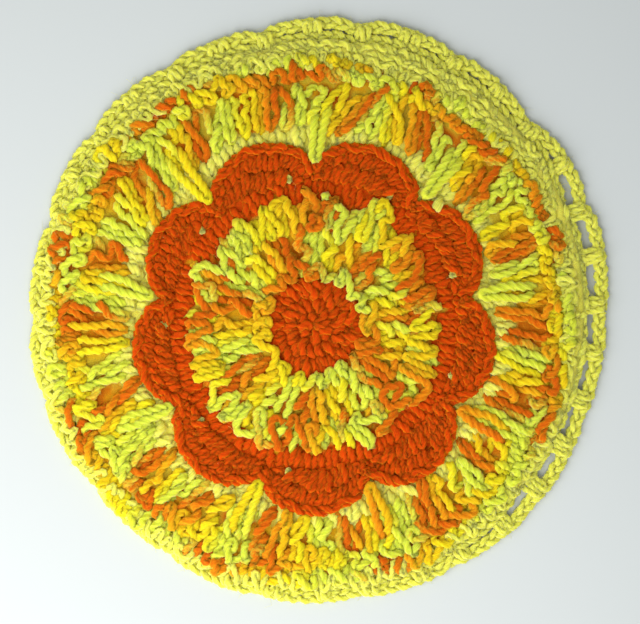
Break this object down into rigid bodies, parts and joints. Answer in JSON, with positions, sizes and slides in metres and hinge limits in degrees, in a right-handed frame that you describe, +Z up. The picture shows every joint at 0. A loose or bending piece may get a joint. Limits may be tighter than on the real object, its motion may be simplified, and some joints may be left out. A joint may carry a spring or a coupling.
{
  "type": "crocheted pot holder",
  "caption": "Round flat pot holder crocheted in cotton: a petalled flower on a ringed disc, with a border and a narrow edging of flat chain arches.",
  "frame": {"origin": "middle of the outline, on the surface that the pot holder lies on", "axes": "+Z up, out of the right side of the pot holder; +Y towards the top of its face as shown; +X to its right"},
  "size_m": [0.1989, 0.2012, 0.0068],
  "materials": {
    "orange_cotton": "matt plied cotton yarn, red-orange",
    "variegated_cotton": "matt plied cotton yarn dyed in turns orange, gold, yellow and lime",
    "yellow_cotton": "matt plied cotton yarn, pale lemon yellow"
  },
  "bodies": {
    "root": {"centre_disc": "orange_cotton", "inner_ring": "variegated_cotton", "ground_ring": "yellow_cotton", "petal_ring": "orange_cotton", "outer_ring": "variegated_cotton", "border_ring": "yellow_cotton", "arch_edging": "yellow_cotton"}
  },
  "joints": []
}
